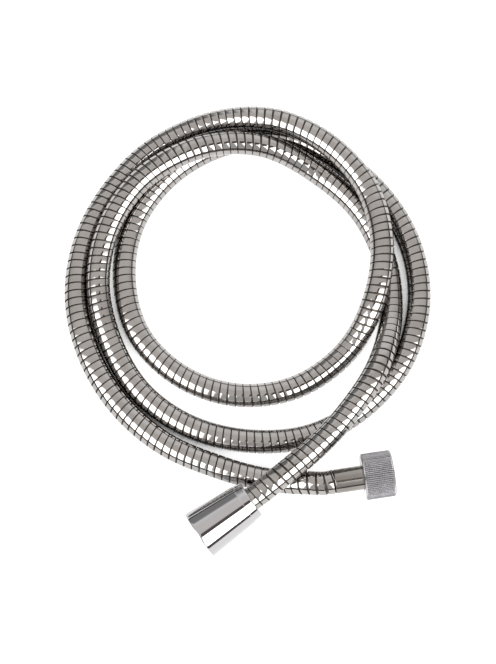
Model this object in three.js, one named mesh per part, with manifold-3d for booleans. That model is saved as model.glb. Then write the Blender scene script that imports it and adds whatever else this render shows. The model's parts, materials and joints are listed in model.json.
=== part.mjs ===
// Shower hose: a flexible spiral-banded metal hose lying in a loose coil of three turns.
// A conical swivel nut is at one end and a straight-knurled swivel nut is at the other.
// Millimetres, +Z up, origin on the surface under the middle of the coil.
// Every length that runs along an end fitting is measured from the mouth of its nut.
import * as THREE from "three";
import { mergeVertices } from "three/addons/utils/BufferGeometryUtils.js";
import Module from "manifold-3d";

const wasm = await Module();
wasm.setup();

// Clearances
const seat_gap = 0.3; // between two faces that bear on each other
const swivel_gap = 0.35; // between a nut's rear bore and the ferrule that turns in it

// Hose
const hose_od = 13.8;
const hose_wall = 1.2;
const hose_sides = 12;
const hose_steps = 100;
const tube_wall = 1.6;
const tube_sides = 8;
const hose_bore = hose_od - 2 * hose_wall;
const tube_od = hose_bore - 2 * seat_gap;
const tube_bore = tube_od - 2 * tube_wall;

// Pipe thread of both nuts, G 1/2: the bore stands at the root of the thread
const thread_root_od = 20.96;
const thread_lead_in = 0.8;

// End fitting: nipple with a flange and a barbed tail, ferrule and flat washer
const flange_od = 18.2;
const flange_thickness = 1.9;
const neck_od = 8.6;
const nipple_bore = 5;
const barb_count = 3;
const barb_pitch = 4.2;
const barb_step = 0.4;
const barb_land = 0.8;
const ferrule_od = hose_od;
const ferrule_length = 20.4;
const ferrule_wall_front = 1.2;
const ferrule_edge = 0.4;
const washer_od = 18.4;
const washer_bore = 10.5;
const washer_thickness = 2.4;

// Conical nut
const cone_mouth_od = 28.8;
const cone_waist_od = 23.9;
const cone_rear_od = 21.8;
const cone_length = 36;
const cone_shoulder_length = 5.2;
const cone_shoulder_step = 0.3;
const cone_rim_land = 1.4;
const cone_rim_edge = 0.35;
const cone_seat_depth = 14;
const cone_rear_edge = 0.6;
const cone_rear_edge_share = 0.3; // where the middle of the rounded rear edge lies

// Knurled nut
const knurl_od = 26.6;
const knurl_length = 17.4;
const knurl_ridges = 72;
const knurl_depth = 0.45;
const knurl_seat_depth = 13.4;
const knurl_mouth_chamfer = 0.9;
const knurl_rear_chamfer = 0.8;
const knurl_stock_past = 1; // how far the ridged stock runs past each face before it is cut
const rear_bore_edge = 0.4;

// Where the two ends lie: the middle of each mouth, and the way from it into the hose
const knurl_mouth_place = [83, -85];
const knurl_heading = 188.8; // degrees from +X
const cone_mouth_place = [-27.3, -121.3];
const cone_heading = 33.9;
const cone_rise = 8; // degrees that the cone's axis climbs over the hose below it

// Coil: how far the hose's centre line spreads. The route and both ends' places follow it.
const coil_width = 199;
const coil_depth = 251;

// Route of the hose from the knurled end to the conical end, three turns clockwise.
// Each point is its x, its y, and how far the hose is lifted there off the surface.
// It is written for a coil whose centre line is route_width by route_depth.
const route_width = 199;
const route_depth = 251;
const route = [
  [34, -90.6, 5.5], [24.5, -89.6, 2.8], [7, -86.9, 0.2], [-14.5, -80.9, 0],
  [-47, -67, 0], [-73.5, -44, 0],
  [-91.5, -14, 0], [-99.5, 20, 0], [-95, 54.5, 0], [-79, 86, 0], [-55, 111, 0.8],
  [-19, 125.5, 7.5], [16, 124.5, 14.5], [47, 109.5, 14.5], [69.5, 83.5, 13.5],
  [78, 49.5, 14.5], [73, 15.5, 11.5], [57, -12.5, 1.5], [28, -33.2, 0], [-6, -37.9, 0],
  [-38.7, -26.4, 0], [-63, -1.4, 0], [-71.8, 33, 0], [-66, 67, 0], [-45.5, 95.5, 0],
  [-15.5, 113.5, 0], [21, 118.5, 0], [54.5, 104.5, 0], [80, 80.5, 0], [96, 49.5, 0],
  [99.5, 15, 0], [89, -18.5, 0], [66, -45.5, 0], [36, -62, 0], [1, -65, 0],
  [-33, -56.5, 0], [-61, -36.5, 0], [-79.2, -6, 0.8], [-86.7, 28, 5.6], [-80.2, 61, 10],
  [-60.5, 89.5, 13], [-26, 108, 14.5], [9, 109.5, 12], [40, 96.5, 3], [66, 73.5, 0],
  [80.5, 42, 0], [83, 7.5, 2.5], [74.5, -25, 13], [55.5, -54, 14.5],
  [38.5, -72.5, 15.8], [19.5, -88.5, 16.2],
];
const straight_lead = 6; // nearly straight stretch of hose beside each ferrule

// Facets round each kind of turned piece
const nut_facets = 72;
const ferrule_facets = 48;
const hidden_facets = 24;

// Materials
function metal(color, roughness) {
  return new THREE.MeshStandardMaterial({ color, roughness, metalness: 1 });
}

function soft(color) {
  return new THREE.MeshStandardMaterial({ color, roughness: 0.7, metalness: 0 });
}

const polished_steel = metal(0xb8b4ae, 0.22);
const polished_chrome = metal(0xc9c8cc, 0.08);
const satin_chrome = metal(0xa9a7ac, 0.35);
const brass = metal(0xb59a55, 0.4);

// An end of the hose: its mouth, and the unit vector from the mouth into the hose
function end_axis(place, height, heading, rise) {
  const turn = THREE.MathUtils.degToRad(heading);
  const climb = THREE.MathUtils.degToRad(rise);
  return {
    mouth: new THREE.Vector3(place[0] * across, place[1] * deep, height),
    inward: new THREE.Vector3(
      Math.cos(turn) * Math.cos(climb), Math.sin(turn) * Math.cos(climb), Math.sin(climb)),
  };
}

function along(end, distance) {
  return end.mouth.clone().addScaledVector(end.inward, distance);
}

const across = coil_width / route_width;
const deep = coil_depth / route_depth;
const cone_mouth_height = cone_mouth_od / 2 * Math.cos(THREE.MathUtils.degToRad(cone_rise));
const knurl_end = end_axis(knurl_mouth_place, knurl_od / 2, knurl_heading, 0);
const cone_end = end_axis(cone_mouth_place, cone_mouth_height, cone_heading, cone_rise);

// Stations of the hose's centre line, the same for the metal hose and the tube inside it
const knurl_hose_start = knurl_seat_depth + ferrule_length + seat_gap;
const cone_hose_start = cone_seat_depth + ferrule_length + seat_gap;

function on_surface(point) {
  point.z = Math.max(point.z, hose_od / 2);
  return point;
}

function hose_stations() {
  const middle = route.map(([x, y, lift]) => {
    return new THREE.Vector3(x * across, y * deep, hose_od / 2 + lift);
  });
  const curve = new THREE.CatmullRomCurve3([
    along(knurl_end, knurl_hose_start),
    along(knurl_end, knurl_hose_start + straight_lead),
    ...middle,
    along(cone_end, cone_hose_start + straight_lead),
    along(cone_end, cone_hose_start),
  ], false, "centripetal");
  const spaced = curve.getSpacedPoints(hose_steps);
  return [
    spaced[0],
    along(knurl_end, knurl_hose_start + straight_lead),
    ...spaced.slice(1, -1),
    along(cone_end, cone_hose_start + straight_lead),
    spaced[hose_steps],
  ].map(on_surface);
}

// A path through stations, which an extrusion visits one by one
class StationPath extends THREE.Curve {
  constructor(stations) {
    super();
    this.stations = stations;
  }

  getPoint(t, target = new THREE.Vector3()) {
    const last = this.stations.length - 1;
    const index = Math.min(Math.floor(t * last), last - 1);
    return target.lerpVectors(this.stations[index], this.stations[index + 1], t * last - index);
  }

  getUtoTmapping(u) {
    return u;
  }
}

// Size across the corners of a regular section whose flats touch a circle
function across_corners(diameter, sides) {
  return diameter / Math.cos(Math.PI / sides);
}

// Regular section with a hole through it, both sizes measured across the corners
function ring_section(outer, inner, sides) {
  const corners = (diameter) => Array.from({ length: sides }, (_, index) => {
    const angle = (index + 0.5) * 2 * Math.PI / sides;
    return new THREE.Vector2(diameter / 2 * Math.cos(angle), diameter / 2 * Math.sin(angle));
  });
  const section = new THREE.Shape(corners(outer));
  section.holes.push(new THREE.Path(corners(inner)));
  return section;
}

function swept_ring(outer, inner, sides, stations) {
  return new THREE.ExtrudeGeometry(ring_section(outer, inner, sides), {
    steps: stations.length - 1,
    bevelEnabled: false,
    extrudePath: new StationPath(stations),
  });
}

function spiral_hose(stations) {
  return swept_ring(
    across_corners(hose_od, hose_sides), across_corners(hose_bore, hose_sides), hose_sides, stations);
}

// The tube inside runs on past the metal hose, into both ferrules
function inner_tube(stations) {
  const past_seat = ferrule_wall_front + seat_gap;
  return swept_ring(tube_od, across_corners(tube_bore, tube_sides), tube_sides, [
    along(knurl_end, knurl_seat_depth + past_seat),
    ...stations,
    along(cone_end, cone_seat_depth + past_seat),
  ]);
}

// Turned piece: a closed profile of [radius, distance from the mouth]
function turned(profile, facets) {
  const points = [...profile, profile[0]].map(([radius, distance]) => new THREE.Vector2(radius, distance));
  return new THREE.LatheGeometry(points, facets);
}

// Solids for the one cut
const weld_distance = 1e-4;

function solid_of(geometry) {
  const bare = geometry.clone();
  bare.deleteAttribute("normal");
  bare.deleteAttribute("uv");
  const merged = mergeVertices(bare, weld_distance);
  return new wasm.Manifold(new wasm.Mesh({
    numProp: 3,
    vertProperties: new Float32Array(merged.attributes.position.array),
    triVerts: new Uint32Array(merged.index.array),
  }));
}

function geometry_of(solid) {
  const mesh = solid.getMesh();
  const geometry = new THREE.BufferGeometry();
  geometry.setAttribute("position", new THREE.BufferAttribute(mesh.vertProperties, 3));
  geometry.setIndex(new THREE.BufferAttribute(mesh.triVerts, 1));
  return geometry;
}

// Bore of a nut, from the rear edge to the mouth: a close bore round the ferrule, the
// shoulder that holds the nipple's flange, and the bore of the thread
function nut_bore(length, seat_depth) {
  const rear_radius = ferrule_od / 2 + swivel_gap;
  const thread_radius = thread_root_od / 2;
  return [
    [rear_radius + rear_bore_edge, length],
    [rear_radius, length - rear_bore_edge],
    [rear_radius, seat_depth],
    [thread_radius, seat_depth],
    [thread_radius, thread_lead_in],
    [thread_radius + thread_lead_in, 0],
  ];
}

function cone_nut() {
  const mouth = cone_mouth_od / 2;
  const waist = cone_waist_od / 2;
  const rear = cone_rear_od / 2;
  const waist_distance = cone_length - cone_shoulder_length;
  const rounded = cone_rear_edge_share * cone_rear_edge;
  return turned([
    ...nut_bore(cone_length, cone_seat_depth),
    [mouth - cone_rim_edge, 0],
    [mouth, cone_rim_edge],
    [mouth, cone_rim_land],
    [waist, waist_distance - cone_shoulder_step],
    [waist - cone_shoulder_step, waist_distance],
    [rear, cone_length - cone_rear_edge],
    [rear - rounded, cone_length - rounded],
    [rear - cone_rear_edge, cone_length],
  ], nut_facets);
}

// Ridged prism of the knurl, cut to the turned blank that has the chamfers and the bore
function knurled_nut() {
  const ridge = knurl_od / 2;
  const blank = ridge + knurl_depth;
  const outline = Array.from({ length: 2 * knurl_ridges }, (_, index) => {
    const angle = index * Math.PI / knurl_ridges;
    const radius = index % 2 ? ridge - knurl_depth : ridge;
    return new THREE.Vector2(radius * Math.cos(angle), radius * Math.sin(angle));
  });
  const prism = new THREE.ExtrudeGeometry(new THREE.Shape(outline), {
    depth: knurl_length + 2 * knurl_stock_past,
    bevelEnabled: false,
  });
  prism.rotateX(-Math.PI / 2);
  prism.translate(0, -knurl_stock_past, 0);
  const turned_blank = turned([
    ...nut_bore(knurl_length, knurl_seat_depth),
    [ridge - knurl_mouth_chamfer, 0],
    [blank, knurl_mouth_chamfer + knurl_depth],
    [blank, knurl_length - knurl_rear_chamfer - knurl_depth],
    [ridge - knurl_rear_chamfer, knurl_length],
  ], nut_facets);
  return geometry_of(solid_of(prism).intersect(solid_of(turned_blank)));
}

// Nipple: flange at the front, neck through the ferrule's wall, barbed tail in the tube
function nipple(seat_depth) {
  const back = seat_depth - seat_gap;
  const tail_start = seat_depth + ferrule_wall_front;
  const barb_radius = tube_bore / 2 - seat_gap;
  const root_radius = barb_radius - barb_step;
  const barbs = [];
  for (let index = 0; index < barb_count; index += 1) {
    const start = tail_start + index * barb_pitch;
    barbs.push([barb_radius, start]);
    barbs.push([barb_radius, start + barb_land]);
    barbs.push([root_radius, start + barb_pitch]);
  }
  return turned([
    [nipple_bore / 2, tail_start + barb_count * barb_pitch],
    [nipple_bore / 2, back - flange_thickness],
    [flange_od / 2, back - flange_thickness],
    [flange_od / 2, back],
    [neck_od / 2, back],
    [neck_od / 2, tail_start],
    ...barbs,
  ], hidden_facets);
}

function ferrule(seat_depth) {
  const outer = ferrule_od / 2;
  const inner = tube_od / 2 + seat_gap;
  const rear = seat_depth + ferrule_length;
  return turned([
    [inner, rear],
    [inner, seat_depth + ferrule_wall_front],
    [neck_od / 2 + seat_gap, seat_depth + ferrule_wall_front],
    [neck_od / 2 + seat_gap, seat_depth],
    [outer - ferrule_edge, seat_depth],
    [outer, seat_depth + ferrule_edge],
    [outer, rear - ferrule_edge],
    [outer - ferrule_edge, rear],
  ], ferrule_facets);
}

function washer(seat_depth) {
  const back = seat_depth - 2 * seat_gap - flange_thickness;
  return turned([
    [washer_bore / 2, back],
    [washer_bore / 2, back - washer_thickness],
    [washer_od / 2, back - washer_thickness],
    [washer_od / 2, back],
  ], hidden_facets);
}

// One end: the nut and the fitting inside it, laid along the end's axis
function end_group(prefix, end, seat_depth, nut_geometry, nut_name, nut_material) {
  const group = new THREE.Group();
  group.position.copy(end.mouth);
  group.quaternion.setFromUnitVectors(new THREE.Vector3(0, 1, 0), end.inward);
  const pieces = [
    [nut_name, nut_geometry, nut_material],
    [`${prefix}_nipple`, nipple(seat_depth), brass],
    [`${prefix}_ferrule`, ferrule(seat_depth), polished_steel],
    [`${prefix}_washer`, washer(seat_depth), soft(0x1d1d1e)],
  ];
  for (const [name, geometry, material] of pieces) {
    group.add(named(name, geometry, material.clone()));
  }
  return group;
}

function named(name, geometry, material) {
  const mesh = new THREE.Mesh(geometry, material);
  mesh.name = name;
  return mesh;
}

const stations = hose_stations();
const part = new THREE.Group();
part.add(named("spiral_hose", spiral_hose(stations), polished_steel));
part.add(named("inner_tube", inner_tube(stations), soft(0xd8d8d2)));
part.add(end_group("knurled_end", knurl_end, knurl_seat_depth, knurled_nut(), "knurled_nut", satin_chrome));
part.add(end_group("cone_end", cone_end, cone_seat_depth, cone_nut(), "cone_nut", polished_chrome));

export default part;
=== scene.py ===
import json
import math

import bpy
import numpy as np
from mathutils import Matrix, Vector


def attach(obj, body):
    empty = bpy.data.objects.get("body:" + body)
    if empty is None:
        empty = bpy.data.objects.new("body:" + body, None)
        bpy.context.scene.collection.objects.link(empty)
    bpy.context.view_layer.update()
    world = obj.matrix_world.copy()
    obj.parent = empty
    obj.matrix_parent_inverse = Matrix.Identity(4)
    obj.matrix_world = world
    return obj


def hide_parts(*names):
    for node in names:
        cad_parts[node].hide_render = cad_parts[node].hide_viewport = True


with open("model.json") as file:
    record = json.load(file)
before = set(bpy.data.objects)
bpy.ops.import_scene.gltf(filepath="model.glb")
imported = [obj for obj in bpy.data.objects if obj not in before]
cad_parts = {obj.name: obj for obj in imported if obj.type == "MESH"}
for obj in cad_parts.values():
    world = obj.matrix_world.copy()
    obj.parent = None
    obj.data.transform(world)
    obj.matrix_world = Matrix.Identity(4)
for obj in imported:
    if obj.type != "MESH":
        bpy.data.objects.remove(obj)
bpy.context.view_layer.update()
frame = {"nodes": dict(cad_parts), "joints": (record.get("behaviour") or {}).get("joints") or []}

MM = 0.001

# Camera: nearly straight above the coil, leaning a little toward the near side
CAMERA_TARGET = Vector((0.00035, 0.0016, 0.0))
CAMERA_DISTANCE = 1.63
CAMERA_ELEVATION = 75.0
CAMERA_LENS = 151.8
CAMERA_SENSOR = 36.0
CAMERA_CLIP_END = 20.0

# Hose, the same sizes as in the solids
HOSE_DIAMETER = 13.8 * MM
HOSE_BORE = 11.4 * MM
KNURL_HOSE_START = 34.1 * MM
CONE_HOSE_START = 34.7 * MM
STRAIGHT_LEAD = 6.0 * MM
CURVE_SAMPLES = 6000
CENTRE_LINE_SPACING = 1.5 * MM
BEND_SMOOTHING = 13

# Bands: one steel strip wound as a right-hand helix, with an open groove between turns
BAND_PITCH = 4.54 * MM
BAND_WIDTH = 4.02 * MM
GROOVE_DEPTH = 0.75 * MM
BAND_SIDES = 24
EDGE_COLUMNS = 2
WIDEST_BAND = 0.985
COLLAR_DEPTH = 1.0 * MM
COLLAR_INSET = 0.1 * MM
BAND_SHARP_ANGLE = math.radians(25.0)

# Across a band: share of its width, and how far its surface lies below the full radius.
# The groove between bands and the outer EDGE_COLUMNS columns on both sides take a near-black
# material: painted shade.
BAND_PROFILE = [
    (0.0, GROOVE_DEPTH),
    (0.01, 0.17 * MM),
    (0.04, 0.05 * MM),
    (0.14, 0.012 * MM),
    (0.38, 0.0),
    (0.62, 0.0),
    (0.86, 0.012 * MM),
    (0.96, 0.05 * MM),
    (0.99, 0.17 * MM),
    (1.0, GROOVE_DEPTH),
]

# Route of the hose, from the knurled end to the conical end: x, y and lift off the surface
ROUTE = [
    (0.034, -0.0906, 0.0055), (0.0245, -0.0896, 0.0028), (0.007, -0.0869, 0.0002),
    (-0.0145, -0.0809, 0.0),
    (-0.047, -0.067, 0.0), (-0.0735, -0.044, 0.0), (-0.0915, -0.014, 0.0),
    (-0.0995, 0.02, 0.0), (-0.095, 0.0545, 0.0), (-0.079, 0.086, 0.0),
    (-0.055, 0.111, 0.0008), (-0.019, 0.1255, 0.0075), (0.016, 0.1245, 0.0145),
    (0.047, 0.1095, 0.0145), (0.0695, 0.0835, 0.0135), (0.078, 0.0495, 0.0145),
    (0.073, 0.0155, 0.0115), (0.057, -0.0125, 0.0015), (0.028, -0.0332, 0.0),
    (-0.006, -0.0379, 0.0), (-0.0387, -0.0264, 0.0), (-0.063, -0.0014, 0.0),
    (-0.0718, 0.033, 0.0), (-0.066, 0.067, 0.0), (-0.0455, 0.0955, 0.0),
    (-0.0155, 0.1135, 0.0), (0.021, 0.1185, 0.0), (0.0545, 0.1045, 0.0),
    (0.08, 0.0805, 0.0), (0.096, 0.0495, 0.0), (0.0995, 0.015, 0.0),
    (0.089, -0.0185, 0.0), (0.066, -0.0455, 0.0), (0.036, -0.062, 0.0),
    (0.001, -0.065, 0.0), (-0.033, -0.0565, 0.0), (-0.061, -0.0365, 0.0),
    (-0.0792, -0.006, 0.0008), (-0.0867, 0.028, 0.0056), (-0.0802, 0.061, 0.01),
    (-0.0605, 0.0895, 0.013), (-0.026, 0.108, 0.0145), (0.009, 0.1095, 0.012),
    (0.04, 0.0965, 0.003), (0.066, 0.0735, 0.0), (0.0805, 0.042, 0.0),
    (0.083, 0.0075, 0.0025), (0.0745, -0.025, 0.013), (0.0555, -0.054, 0.0145),
    (0.0385, -0.0725, 0.0158), (0.0195, -0.0885, 0.0162),
]

# End fittings, along the axis from the mouth of the nut
THREAD_ROOT_RADIUS = 10.48 * MM
THREAD_CREST_RADIUS = 9.32 * MM
THREAD_PITCH = 1.814 * MM
THREAD_LEAD_IN = 0.8 * MM
THREAD_START = 0.48 * MM
THREAD_RUN_OUT_TURNS = 0.6
THREAD_STEPS = 48
THREAD_FADE_STEPS = 14
THREAD_LOWEST_FADE = 0.03
THREAD_FLANK = 0.94
THREAD_BACK_INSET = 0.02 * MM
THREAD_SECTION = [(0.0, 0.0), (0.42, 1.0), (0.58, 1.0), (1.0, 0.0)]
REAR_BORE_RADIUS = 7.25 * MM
REAR_BORE_EDGE = 0.4 * MM
FERRULE_LENGTH = 20.4 * MM
FERRULE_BORE_RADIUS = 5.7 * MM
FERRULE_WALL = 1.2 * MM
NECK_RADIUS = 4.3 * MM
SEAT_GAP = 0.3 * MM
FLANGE_THICKNESS = 1.9 * MM
WASHER_RADIUS = 9.2 * MM
WASHER_BORE_RADIUS = 5.25 * MM
WASHER_THICKNESS = 2.4 * MM
WASHER_FILLET = 0.15 * MM
WASHER_SEGMENTS = 72
FERRULE_SEGMENTS = 96
EDGE_HOLD = 0.2 * MM
TURNED_SHARP_ANGLE = math.radians(38.0)
THREAD_SHARP_ANGLE = math.radians(30.0)

# Conical nut
CONE_LENGTH = 36.0 * MM
CONE_MOUTH_RADIUS = 14.4 * MM
CONE_WAIST_RADIUS = 11.95 * MM
CONE_REAR_RADIUS = 10.9 * MM
CONE_SHOULDER_LENGTH = 5.2 * MM
CONE_SHOULDER_STEP = 0.3 * MM
CONE_RIM_LAND = 1.4 * MM
CONE_SEAT_DEPTH = 14.0 * MM
CONE_THREAD_LENGTH = 9.0 * MM
CONE_SEGMENTS = 144

# Knurled nut
KNURL_LENGTH = 17.4 * MM
KNURL_RADIUS = 13.3 * MM
KNURL_DEPTH = 0.45 * MM
KNURL_RIDGES = 72
KNURL_MOUTH_CHAMFER = 0.9 * MM
KNURL_REAR_CHAMFER = 0.8 * MM
KNURL_ROUNDNESS = 2.2
KNURL_RIDGE_STEPS = 8
KNURL_SEAT_DEPTH = 13.4 * MM
KNURL_THREAD_LENGTH = 8.4 * MM

# Finishes: colour, roughness, metallic, grain, bump and how far the colour spreads
FINISHES = {
    "polished_steel": ((0.335, 0.322, 0.313), 0.07, 1.0, 260.0, 0.06, 0.03),
    "ferrule_steel": ((0.235, 0.22, 0.205), 0.13, 1.0, 120.0, 0.03, 0.03),
    # groove_painted_shade is no finish of the steel: its near-black colour is painted shade for
    # the grooves and band edges
    "groove_painted_shade": ((0.06, 0.052, 0.045), 0.4, 1.0, 400.0, 0.1, 0.01),
    "chrome": ((0.42, 0.415, 0.425), 0.03, 1.0, 60.0, 0.0, 0.01),
    "satin_chrome": ((0.31, 0.306, 0.322), 0.16, 1.0, 500.0, 0.0, 0.03),
    "brass": ((0.72, 0.54, 0.26), 0.28, 1.0, 300.0, 0.1, 0.03),
    "washer_rubber": ((0.02, 0.02, 0.02), 0.6, 0.0, 300.0, 0.2, 0.008),
    "tube_plastic": ((0.78, 0.78, 0.74), 0.45, 0.0, 200.0, 0.05, 0.03),
}
BUMP_DISTANCE = 0.05 * MM
NOISE_RANGE = (0.3, 0.7)
ROUGHNESS_SPREAD = (0.8, 1.25)
TINT_GRAIN = 0.3
BUMP_GRAIN = 2.0

# Floor: glows like a light table, but not in the narrow slits between strands, where ambient
# occlusion cuts the glow as painted shade
FLOOR_SIZE = 9.0
FLOOR_DROP = 0.4 * MM
FLOOR_GREY = 0.38
FLOOR_ROUGHNESS = 0.9
FLOOR_GLOW = 0.8
SLIT_REACH = 14.0 * MM
SLIT_SAMPLES = 24
SLIT_OPENNESS = (0.15, 0.19)

# Room, by the height of the direction looked in: sine of its angle above the floor
ROOM_GREYS = [
    (0.0, 0.03), (0.21, 0.03), (0.25, 0.75), (0.56, 1.0), (0.85, 1.1), (1.0, 1.1),
]
ROOM_TINT = (1.0, 0.97, 0.94)
BAR_COLOR = (0.17, 0.15, 0.14)
FAR_WALL_GREY = 1.35
LEFT_PANEL_GREY = 0.38
CAMERA_GAP_GREY = 0.85
SOFTBOX_COLOR = (1.0, 0.995, 0.985)
SOFTBOX_STRENGTH = 6.4

# Soft edges in the room: where each region starts, and where it is full.
# Heights and the shares sideways and across are parts of a unit direction. The bearings are
# in radians from the camera's own.
ABOVE_SKIRT = (0.12, 0.16)
BAR_UNDER = (0.998, 0.985)
BAR_NEAR = (0.0, -0.06)
BAR_RIGHT = (0.03, 0.12)
FAR_WALL = (0.35, 0.75)
LEFT_PANEL_FAR = (0.56, 0.66)
LEFT_PANEL_LEFT = (-0.25, -0.45)
SOFTBOX_NEAR = (0.0, -0.22)
SOFTBOX_BOTTOM = (0.25, 0.27)
SOFTBOX_TOP = (0.913, 0.897)
GAP_LEFT_BEARING = (-0.36, -0.52)
GAP_RIGHT_BEARING = (0.30, 0.40)

joints = {joint["name"]: joint for joint in frame["joints"]}


# Camera
def place_camera():
    data = bpy.data.cameras.new("photo_camera")
    data.lens = CAMERA_LENS
    data.sensor_width = CAMERA_SENSOR
    data.clip_end = CAMERA_CLIP_END
    camera = bpy.data.objects.new("photo_camera", data)
    bpy.context.scene.collection.objects.link(camera)
    tilt = math.radians(CAMERA_ELEVATION)
    away = Vector((0.0, -math.cos(tilt), math.sin(tilt)))
    camera.location = CAMERA_TARGET + away * CAMERA_DISTANCE
    camera.rotation_euler = (math.radians(90.0) - tilt, 0.0, 0.0)
    bpy.context.scene.camera = camera
    bpy.context.scene.view_settings.view_transform = "Standard"


# Ends of the hose: the middle of each nut's mouth, and the way from it into the hose
def end_axis(joint_name):
    joint = joints[joint_name]
    mouth = np.array(joint["pos_m"], float)
    inward = np.array(joint["axis"], float)
    return mouth, inward / np.linalg.norm(inward)


def along(end, distance):
    mouth, inward = end
    return mouth + inward * distance


# Hose: centre line
def spline_point(points, t):
    """Centripetal Catmull-Rom curve through the points, at t from 0 to 1."""
    last = len(points) - 1
    index = min(int(t * last), last - 1)
    weight = t * last - index
    p1, p2 = points[index], points[index + 1]
    p0 = points[index - 1] if index > 0 else 2 * points[0] - points[1]
    p3 = points[index + 2] if index + 2 <= last else 2 * points[last] - points[last - 1]
    d0, d1, d2 = (math.sqrt(np.linalg.norm(b - a)) for a, b in ((p0, p1), (p1, p2), (p2, p3)))
    t1 = ((p1 - p0) / d0 - (p2 - p0) / (d0 + d1) + (p2 - p1) / d1) * d1
    t2 = ((p2 - p1) / d1 - (p3 - p1) / (d1 + d2) + (p3 - p2) / d2) * d1
    c2 = -3 * p1 + 3 * p2 - 2 * t1 - t2
    c3 = 2 * p1 - 2 * p2 + t1 + t2
    return p1 + weight * (t1 + weight * (c2 + weight * c3))


def evenly_spaced(points, spacing):
    steps = np.linalg.norm(np.diff(points, axis=0), axis=1)
    distance = np.concatenate([[0.0], np.cumsum(steps)])
    count = round(distance[-1] / spacing) + 1
    wanted = np.linspace(0.0, distance[-1], count)
    return np.column_stack([np.interp(wanted, distance, points[:, axis]) for axis in range(3)])


def hose_centre_line():
    rest_height = HOSE_DIAMETER / 2
    middle = [np.array([x, y, rest_height + lift]) for x, y, lift in ROUTE]
    knots = [
        along(knurl_end, KNURL_HOSE_START),
        along(knurl_end, KNURL_HOSE_START + STRAIGHT_LEAD),
        *middle,
        along(cone_end, CONE_HOSE_START + STRAIGHT_LEAD),
        along(cone_end, CONE_HOSE_START),
    ]
    curve = np.array([spline_point(knots, t) for t in np.linspace(0.0, 1.0, CURVE_SAMPLES)])
    curve[:, 2] = np.maximum(curve[:, 2], rest_height)
    return evenly_spaced(curve, CENTRE_LINE_SPACING)


def line_frames(line):
    """Tangents, and two directions across the line that don't twist about it."""
    tangents = np.gradient(line, axis=0)
    tangents /= np.linalg.norm(tangents, axis=1)[:, None]
    across = np.zeros_like(line)
    side = np.cross([0.0, 0.0, 1.0], tangents[0])
    for index, tangent in enumerate(tangents):
        side = side - tangent * side.dot(tangent)
        side /= np.linalg.norm(side)
        across[index] = side
    return tangents, across, np.cross(tangents, across)


def bend_vectors(line, tangents):
    """How sharply the line bends, and toward where: one over the radius, smoothed."""
    spacing = np.linalg.norm(line[1] - line[0])
    bend = np.gradient(tangents, axis=0) / spacing
    window = np.hanning(BEND_SMOOTHING)
    window /= window.sum()
    margin = BEND_SMOOTHING // 2
    padded = np.pad(bend, ((margin, margin), (0, 0)), mode="edge")
    return np.column_stack([np.convolve(padded[:, axis], window, "valid") for axis in range(3)])


# Hose: the banded surface
def band_surface(line):
    """Rows of vertices along the helix. Turn k's last column joins turn k + 1's first."""
    tangents, across, up = line_frames(line)
    bend = bend_vectors(line, tangents)
    length = np.linalg.norm(np.diff(line, axis=0), axis=1).sum()
    turns = round(length / BAND_PITCH)
    pitch = length / turns
    stations = np.linspace(0.0, length, len(line))
    step = np.arange(-BAND_SIDES, (turns + 1) * BAND_SIDES + 1)
    angle = 2 * math.pi * step / BAND_SIDES
    start = pitch * step / BAND_SIDES
    vertices = []
    for share, depth in BAND_PROFILE:
        place = np.clip(start + share * BAND_WIDTH, 0.0, length)
        side = outward(across, up, stations, place, angle)
        stretch = 1.0 - HOSE_DIAMETER / 2 * (sampled(bend, stations, place) * side).sum(axis=1)
        width = np.minimum(BAND_WIDTH / stretch, WIDEST_BAND * pitch)
        middle = start + BAND_WIDTH / 2
        place = middle + (share - 0.5) * width
        radius = np.full(len(place), HOSE_DIAMETER / 2 - depth)
        outside = (place < 0.0) | (place > length)
        radius[outside] = HOSE_BORE / 2 - COLLAR_INSET
        place = np.clip(place, -COLLAR_DEPTH, length + COLLAR_DEPTH)
        side = outward(across, up, stations, place, angle)
        vertices.append(centre_at(line, tangents, stations, place) + side * radius[:, None])
    return np.stack(vertices, axis=1)


def sampled(values, stations, place):
    return np.column_stack([np.interp(place, stations, values[:, axis]) for axis in range(3)])


def centre_at(line, tangents, stations, place):
    past = np.minimum(place, 0.0) + np.maximum(place - stations[-1], 0.0)
    return sampled(line, stations, place) + sampled(tangents, stations, place) * past[:, None]


def outward(across, up, stations, place, angle):
    side = sampled(across, stations, place) * np.cos(angle)[:, None]
    side += sampled(up, stations, place) * np.sin(angle)[:, None]
    return side / np.linalg.norm(side, axis=1)[:, None]


def build_hose(line):
    surface = band_surface(line)
    rows, columns = surface.shape[:2]
    index = np.arange(rows * columns).reshape(rows, columns)
    faces = []
    # Faces in the groove and in the edge columns beside it get the near-black groove material:
    # painted shade.
    groove = []
    for column in range(columns - 1):
        quads = np.column_stack([
            index[:-1, column], index[:-1, column + 1], index[1:, column + 1], index[1:, column],
        ])
        faces.append(quads)
        at_edge = min(column, columns - 2 - column) < EDGE_COLUMNS
        groove.append(np.full(len(quads), at_edge))
    body, following = index[:-BAND_SIDES], index[BAND_SIDES:]
    quads = np.column_stack([body[:-1, -1], following[:-1, 0], following[1:, 0], body[1:, -1]])
    faces.append(quads)
    groove.append(np.full(len(quads), True))
    mesh = mesh_from(surface.reshape(-1, 3), np.vstack(faces), "hose_bands")
    mesh.materials.append(materials["polished_steel"])
    mesh.materials.append(materials["groove_painted_shade"])
    mesh.polygons.foreach_set("material_index", np.concatenate(groove).astype(np.int32))
    mesh.set_sharp_from_angle(angle=BAND_SHARP_ANGLE)
    hose = add_object(mesh, "hose_bands", "hose", "polished_steel", "spiral_hose")
    return hose


# Meshes and objects
def mesh_from(vertices, faces, name):
    mesh = bpy.data.meshes.new(name)
    mesh.from_pydata(vertices.tolist(), [], faces.tolist())
    mesh.polygons.foreach_set("use_smooth", np.full(len(mesh.polygons), True))
    mesh.update()
    return mesh


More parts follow.
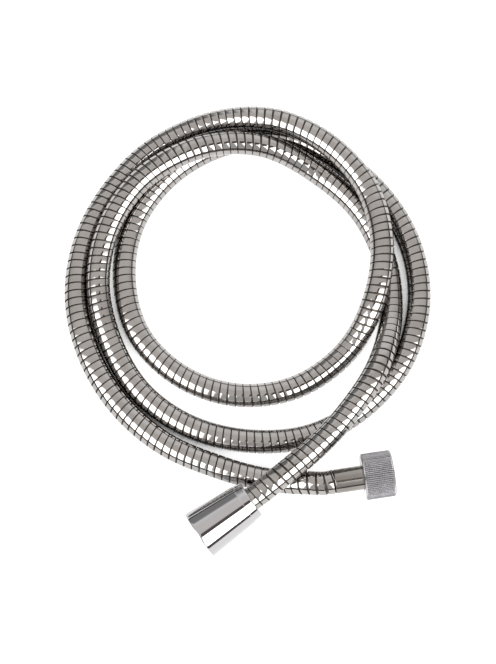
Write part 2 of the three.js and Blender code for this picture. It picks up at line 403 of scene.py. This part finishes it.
def add_object(mesh, name, body, slot_name, *stands_for):
    piece = bpy.data.objects.new(name, mesh)
    bpy.context.scene.collection.objects.link(piece)
    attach(piece, body)
    if stands_for:
        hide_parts(*stands_for)
    return piece


def rounded(profile, steps=4):
    """Profile of (radius, distance, fillet) corners, each turned into an arc of points.

    Long sides get one more point near each arc, which keeps them flat in smooth shading.
    """
    corners = [np.array(corner[:2], float) for corner in profile]
    points = []
    for index, (here, corner) in enumerate(zip(corners, profile)):
        fillet = corner[2]
        before = corners[index - 1] - here
        after = corners[(index + 1) % len(corners)] - here
        if fillet == 0.0:
            points.append(here)
            continue
        reach = min(fillet, 0.45 * np.linalg.norm(before), 0.45 * np.linalg.norm(after))
        back = before / np.linalg.norm(before)
        ahead = after / np.linalg.norm(after)
        start = here + back * reach
        stop = here + ahead * reach
        if np.linalg.norm(before) > 4 * (reach + EDGE_HOLD):
            points.append(start + back * EDGE_HOLD)
        for share in np.linspace(0.0, 1.0, steps + 1):
            bow = 2 * share * (1 - share) * here
            points.append((1 - share) ** 2 * start + bow + share**2 * stop)
        if np.linalg.norm(after) > 4 * (reach + EDGE_HOLD):
            points.append(stop + ahead * EDGE_HOLD)
    return np.array(points)


def end_directions(end):
    inward = end[1]
    side = np.cross([0.0, 0.0, 1.0], inward)
    side /= np.linalg.norm(side)
    return side, np.cross(inward, side)


def revolved(end, profile, segments, name, radius_at=None):
    """Closed profile of (radius, distance) turned about the end's axis."""
    side, up = end_directions(end)
    angles = np.linspace(0.0, 2 * math.pi, segments, endpoint=False)
    directions = np.cos(angles)[:, None] * side + np.sin(angles)[:, None] * up
    rings = []
    for number, (radius, distance) in enumerate(profile):
        radii = np.full(segments, radius)
        if radius_at is not None:
            radii = radius_at(number, radius, angles)
        rings.append(along(end, distance) + directions * radii[:, None])
    vertices = np.concatenate(rings)
    count = len(profile)
    faces = []
    for ring in range(count):
        here = ring * segments + np.arange(segments)
        there = (ring + 1) % count * segments + np.arange(segments)
        faces.append(np.column_stack([here, np.roll(here, -1), np.roll(there, -1), there]))
    mesh = mesh_from(vertices, np.vstack(faces), name)
    mesh.set_sharp_from_angle(angle=TURNED_SHARP_ANGLE)
    return mesh


# Nuts and the fittings inside them
def nut_bore(length, seat_depth):
    return [
        (REAR_BORE_RADIUS + REAR_BORE_EDGE, length, 0.0),
        (REAR_BORE_RADIUS, length - REAR_BORE_EDGE, 0.0),
        (REAR_BORE_RADIUS, seat_depth, 0.0),
        (THREAD_ROOT_RADIUS, seat_depth, 0.0),
        (THREAD_ROOT_RADIUS, THREAD_LEAD_IN, 0.0),
        (THREAD_ROOT_RADIUS + THREAD_LEAD_IN, 0.0, 0.0),
    ]


def build_cone_nut():
    waist = CONE_LENGTH - CONE_SHOULDER_LENGTH
    profile = rounded([
        *nut_bore(CONE_LENGTH, CONE_SEAT_DEPTH),
        (CONE_MOUTH_RADIUS, 0.0, 0.5 * MM),
        (CONE_MOUTH_RADIUS, CONE_RIM_LAND, 0.4 * MM),
        (CONE_WAIST_RADIUS, waist - CONE_SHOULDER_STEP, 0.15 * MM),
        (CONE_WAIST_RADIUS - CONE_SHOULDER_STEP, waist, 0.1 * MM),
        (CONE_REAR_RADIUS, CONE_LENGTH, 0.8 * MM),
    ])
    mesh = revolved(cone_end, profile, CONE_SEGMENTS, "cone_nut_shell")
    mesh.materials.append(materials["chrome"])
    return add_object(mesh, "cone_nut_shell", "cone_nut_body", "chrome", "cone_nut")


def build_knurled_nut():
    bore = nut_bore(KNURL_LENGTH, KNURL_SEAT_DEPTH)
    outside = [
        (KNURL_RADIUS - KNURL_MOUTH_CHAMFER, 0.0, 0.0),
        (KNURL_RADIUS - KNURL_DEPTH, KNURL_MOUTH_CHAMFER - KNURL_DEPTH, 0.0),
        (KNURL_RADIUS, KNURL_MOUTH_CHAMFER, 0.0),
        (KNURL_RADIUS, KNURL_MOUTH_CHAMFER + EDGE_HOLD, 0.0),
        (KNURL_RADIUS, KNURL_LENGTH - KNURL_REAR_CHAMFER - EDGE_HOLD, 0.0),
        (KNURL_RADIUS, KNURL_LENGTH - KNURL_REAR_CHAMFER, 0.0),
        (KNURL_RADIUS - KNURL_DEPTH, KNURL_LENGTH - KNURL_REAR_CHAMFER + KNURL_DEPTH, 0.0),
        (KNURL_RADIUS - KNURL_REAR_CHAMFER, KNURL_LENGTH, 0.0),
    ]
    profile = rounded([*bore, *outside])

    def ridged(number, radius, angles):
        from_crest = np.abs((angles * KNURL_RIDGES / (2 * math.pi)) % 1.0 - 0.5) * 2.0
        ridge = KNURL_RADIUS - KNURL_DEPTH * from_crest**KNURL_ROUNDNESS
        return np.full(len(angles), radius) if number < len(bore) else np.minimum(radius, ridge)

    segments = KNURL_RIDGES * KNURL_RIDGE_STEPS
    mesh = revolved(knurl_end, profile, segments, "knurled_nut_shell", ridged)
    mesh.materials.append(materials["satin_chrome"])
    return add_object(
        mesh, "knurled_nut_shell", "knurled_nut_body", "satin_chrome", "knurled_nut")


def build_thread(end, depth, name, body, slot_name):
    """Ridge of the pipe thread, wound inside the bore of a nut."""
    side, up = end_directions(end)
    turns = (depth - THREAD_LEAD_IN) / THREAD_PITCH - THREAD_RUN_OUT_TURNS
    count = int(turns * THREAD_STEPS)
    step = np.arange(count + 1)
    angle = 2 * math.pi * step / THREAD_STEPS
    start = THREAD_START + THREAD_PITCH * step / THREAD_STEPS
    from_end = np.minimum(step, count - step)
    fade = np.clip(from_end / THREAD_FADE_STEPS, THREAD_LOWEST_FADE, 1.0)
    height = (THREAD_ROOT_RADIUS - THREAD_CREST_RADIUS) * fade
    direction = np.cos(angle)[:, None] * side - np.sin(angle)[:, None] * up
    rows = []
    for share, rise in THREAD_SECTION:
        radius = THREAD_ROOT_RADIUS - THREAD_BACK_INSET - height * rise
        distance = start + share * THREAD_PITCH * THREAD_FLANK
        rows.append(end[0] + end[1] * distance[:, None] + direction * radius[:, None])
    vertices = np.stack(rows, axis=1).reshape(-1, 3)
    index = np.arange(len(vertices)).reshape(count + 1, 4)
    faces = [
        np.column_stack([index[:-1, a], index[1:, a], index[1:, b], index[:-1, b]])
        for a, b in ((0, 1), (1, 2), (2, 3), (3, 0))
    ]
    caps = np.array([index[0], index[-1][::-1]])
    mesh = mesh_from(vertices, np.vstack([*faces, caps]), name)
    mesh.materials.append(materials[slot_name])
    mesh.set_sharp_from_angle(angle=THREAD_SHARP_ANGLE)
    return add_object(mesh, name, body, slot_name)


def build_ferrule(end, seat_depth, node):
    rear = seat_depth + FERRULE_LENGTH
    outer = HOSE_DIAMETER / 2
    profile = rounded([
        (FERRULE_BORE_RADIUS, rear, 0.0),
        (FERRULE_BORE_RADIUS, seat_depth + FERRULE_WALL, 0.0),
        (NECK_RADIUS + SEAT_GAP, seat_depth + FERRULE_WALL, 0.0),
        (NECK_RADIUS + SEAT_GAP, seat_depth, 0.0),
        (outer, seat_depth, 0.4 * MM),
        (outer, rear, 0.45 * MM),
    ])
    mesh = revolved(end, profile, FERRULE_SEGMENTS, node + "_shell")
    mesh.materials.append(materials["ferrule_steel"])
    return add_object(mesh, node + "_shell", "hose", "polished_steel", node)


def build_washer(end, seat_depth, node):
    back = seat_depth - 2 * SEAT_GAP - FLANGE_THICKNESS
    profile = rounded([
        (WASHER_BORE_RADIUS, back, WASHER_FILLET),
        (WASHER_BORE_RADIUS, back - WASHER_THICKNESS, WASHER_FILLET),
        (WASHER_RADIUS, back - WASHER_THICKNESS, WASHER_FILLET),
        (WASHER_RADIUS, back, WASHER_FILLET),
    ])
    mesh = revolved(end, profile, WASHER_SEGMENTS, node + "_ring")
    mesh.materials.append(materials["washer_rubber"])
    return add_object(mesh, node + "_ring", "hose", "washer_rubber", node)


def dress_cad_nodes():
    """The hidden pieces that stay as solids get their finish."""
    finishes = {
        "inner_tube": "tube_plastic",
        "knurled_end_nipple": "brass",
        "cone_end_nipple": "brass",
    }
    for node, finish in finishes.items():
        mesh = frame["nodes"][node].data
        mesh.materials.clear()
        mesh.materials.append(materials[finish])


# Materials
def noise_driven(nodes, links, scale, low, high, detail=3.0):
    """Noise over the object's own place, mapped from low to high."""
    place = nodes.new("ShaderNodeTexCoord")
    noise = nodes.new("ShaderNodeTexNoise")
    noise.inputs["Scale"].default_value = scale
    noise.inputs["Detail"].default_value = detail
    spread = nodes.new("ShaderNodeMapRange")
    spread.inputs["From Min"].default_value = NOISE_RANGE[0]
    spread.inputs["From Max"].default_value = NOISE_RANGE[1]
    spread.inputs["To Min"].default_value = low
    spread.inputs["To Max"].default_value = high
    links.new(place.outputs["Object"], noise.inputs["Vector"])
    links.new(noise.outputs["Fac"], spread.inputs["Value"])
    return spread.outputs["Result"]


def surface_material(name, color, roughness, metallic, grain, bump, spread):
    material = bpy.data.materials.new(name)
    material.use_nodes = True
    nodes, links = material.node_tree.nodes, material.node_tree.links
    shader = nodes["Principled BSDF"]
    shader.inputs["Metallic"].default_value = metallic
    shader.inputs["Base Color"].default_value = (*color, 1.0)
    low, high = (roughness * share for share in ROUGHNESS_SPREAD)
    rough = noise_driven(nodes, links, grain, low, high)
    links.new(rough, shader.inputs["Roughness"])
    tint = nodes.new("ShaderNodeMixRGB")
    tint.inputs["Color1"].default_value = (*(max(c - spread, 0.0) for c in color), 1.0)
    tint.inputs["Color2"].default_value = (*(min(c + spread, 1.0) for c in color), 1.0)
    links.new(noise_driven(nodes, links, grain * TINT_GRAIN, 0.0, 1.0), tint.inputs["Fac"])
    links.new(tint.outputs["Color"], shader.inputs["Base Color"])
    if bump > 0.0:
        relief = nodes.new("ShaderNodeBump")
        relief.inputs["Strength"].default_value = bump
        relief.inputs["Distance"].default_value = BUMP_DISTANCE
        height = noise_driven(nodes, links, grain * BUMP_GRAIN, 0.0, 1.0)
        links.new(height, relief.inputs["Height"])
        links.new(relief.outputs["Normal"], shader.inputs["Normal"])
    return material


def build_materials():
    return {name: surface_material(name, *finish) for name, finish in FINISHES.items()}


# Stage: pale floor, soft studio light and the grey room that the metal mirrors
def build_floor():
    bpy.ops.mesh.primitive_plane_add(size=FLOOR_SIZE, location=(0.0, 0.0, -FLOOR_DROP))
    floor = bpy.context.object
    floor.name = "floor"
    material = bpy.data.materials.new("floor_paper")
    material.use_nodes = True
    nodes, links = material.node_tree.nodes, material.node_tree.links
    shader = nodes["Principled BSDF"]
    shader.inputs["Base Color"].default_value = (FLOOR_GREY, FLOOR_GREY, FLOOR_GREY, 1.0)
    shader.inputs["Roughness"].default_value = FLOOR_ROUGHNESS
    shader.inputs["Specular IOR Level"].default_value = 0.0
    shader.inputs["Emission Color"].default_value = (1.0, 1.0, 1.0, 1.0)
    # Ambient occlusion cuts the glow where strands hem the floor in: painted shade in the slits.
    openness = nodes.new("ShaderNodeAmbientOcclusion")
    openness.samples = SLIT_SAMPLES
    openness.inputs["Distance"].default_value = SLIT_REACH
    open_floor = step_between(nodes, links, openness.outputs["AO"], SLIT_OPENNESS)
    glow = nodes.new("ShaderNodeMath")
    glow.operation = "MULTIPLY"
    glow.inputs[1].default_value = FLOOR_GLOW
    links.new(open_floor, glow.inputs[0])
    links.new(glow.outputs["Value"], shader.inputs["Emission Strength"])
    floor.data.materials.append(material)


def step_between(nodes, links, value, edge):
    """0 before the edge's start, 1 past its end, smooth between. An edge can run downward."""
    spread = nodes.new("ShaderNodeMapRange")
    spread.interpolation_type = "SMOOTHSTEP"
    spread.inputs["From Min"].default_value = edge[0]
    spread.inputs["From Max"].default_value = edge[1]
    links.new(value, spread.inputs["Value"])
    return spread.outputs["Result"]


def product(nodes, links, *factors):
    result = factors[0]
    for factor in factors[1:]:
        multiply = nodes.new("ShaderNodeMath")
        multiply.operation = "MULTIPLY"
        links.new(result, multiply.inputs[0])
        links.new(factor, multiply.inputs[1])
        result = multiply.outputs["Value"]
    return result


def background(nodes, color, strength=1.0):
    shader = nodes.new("ShaderNodeBackground")
    shader.inputs["Color"].default_value = (*color, 1.0)
    shader.inputs["Strength"].default_value = strength
    return shader.outputs["Background"]


def laid_over(nodes, links, below, above, share):
    mix = nodes.new("ShaderNodeMixShader")
    links.new(share, mix.inputs["Fac"])
    links.new(below, mix.inputs[1])
    links.new(above, mix.inputs[2])
    return mix.outputs["Shader"]


def outside_camera_gap(nodes, links, sideways, across):
    """1 on both sides of the gap that the camera looks through, by bearing."""
    toward_camera = nodes.new("ShaderNodeMath")
    toward_camera.operation = "MULTIPLY"
    toward_camera.inputs[1].default_value = -1.0
    links.new(across, toward_camera.inputs[0])
    bearing = nodes.new("ShaderNodeMath")
    bearing.operation = "ARCTAN2"
    links.new(sideways, bearing.inputs[0])
    links.new(toward_camera.outputs["Value"], bearing.inputs[1])
    both_sides = nodes.new("ShaderNodeMath")
    both_sides.operation = "ADD"
    for side, edge in enumerate((GAP_LEFT_BEARING, GAP_RIGHT_BEARING)):
        beside = step_between(nodes, links, bearing.outputs["Value"], edge)
        links.new(beside, both_sides.inputs[side])
    return both_sides.outputs["Value"]


def build_room():
    """Grey room by direction, with a dark bar, a light wall and one broad softbox."""
    world = bpy.data.worlds.new("room")
    world.use_nodes = True
    bpy.context.scene.world = world
    nodes, links = world.node_tree.nodes, world.node_tree.links
    place = nodes.new("ShaderNodeTexCoord")
    split = nodes.new("ShaderNodeSeparateXYZ")
    links.new(place.outputs["Generated"], split.inputs["Vector"])
    sideways, across, height = (split.outputs[axis] for axis in "XYZ")

    def region(*edges):
        steps = [step_between(nodes, links, value, edge) for value, edge in edges]
        return product(nodes, links, *steps)

    ramp = nodes.new("ShaderNodeValToRGB")
    elements = ramp.color_ramp.elements
    while len(elements) < len(ROOM_GREYS):
        elements.new(0.5)
    for element, (position, grey) in zip(elements, ROOM_GREYS):
        element.position = position
        element.color = (*(grey * tint for tint in ROOM_TINT), 1.0)
    links.new(height, ramp.inputs["Fac"])
    links.new(ramp.outputs["Color"], nodes["Background"].inputs["Color"])
    room = nodes["Background"].outputs["Background"]

    bar = region((height, BAR_UNDER), (across, BAR_NEAR), (sideways, BAR_RIGHT))
    room = laid_over(nodes, links, room, background(nodes, BAR_COLOR), bar)

    far_wall = region((across, FAR_WALL), (height, ABOVE_SKIRT))
    wall_color = (FAR_WALL_GREY,) * 3
    room = laid_over(nodes, links, room, background(nodes, wall_color), far_wall)

    left_panel = region(
        (across, LEFT_PANEL_FAR), (sideways, LEFT_PANEL_LEFT), (height, ABOVE_SKIRT))
    panel_color = (LEFT_PANEL_GREY,) * 3
    room = laid_over(nodes, links, room, background(nodes, panel_color), left_panel)

    softbox = laid_over(
        nodes, links,
        background(nodes, (CAMERA_GAP_GREY,) * 3),
        background(nodes, SOFTBOX_COLOR, SOFTBOX_STRENGTH),
        outside_camera_gap(nodes, links, sideways, across),
    )
    softbox_place = region((height, SOFTBOX_BOTTOM), (height, SOFTBOX_TOP), (across, SOFTBOX_NEAR))
    room = laid_over(nodes, links, room, softbox, softbox_place)
    links.new(room, nodes["World Output"].inputs["Surface"])


place_camera()
knurl_end = end_axis("knurled_nut_swivel")
cone_end = end_axis("cone_nut_swivel")
materials = build_materials()
cone_end_pieces = [
    build_cone_nut(),
    build_thread(cone_end, CONE_THREAD_LENGTH, "cone_nut_thread", "cone_nut_body", "chrome"),
    build_ferrule(cone_end, CONE_SEAT_DEPTH, "cone_end_ferrule"),
    build_washer(cone_end, CONE_SEAT_DEPTH, "cone_end_washer"),
    frame["nodes"]["cone_end_nipple"],
]
build_hose(hose_centre_line())
build_knurled_nut()
build_thread(
    knurl_end, KNURL_THREAD_LENGTH, "knurled_nut_thread", "knurled_nut_body", "satin_chrome")
build_ferrule(knurl_end, KNURL_SEAT_DEPTH, "knurled_end_ferrule")
build_washer(knurl_end, KNURL_SEAT_DEPTH, "knurled_end_washer")
dress_cad_nodes()
build_floor()
build_room()
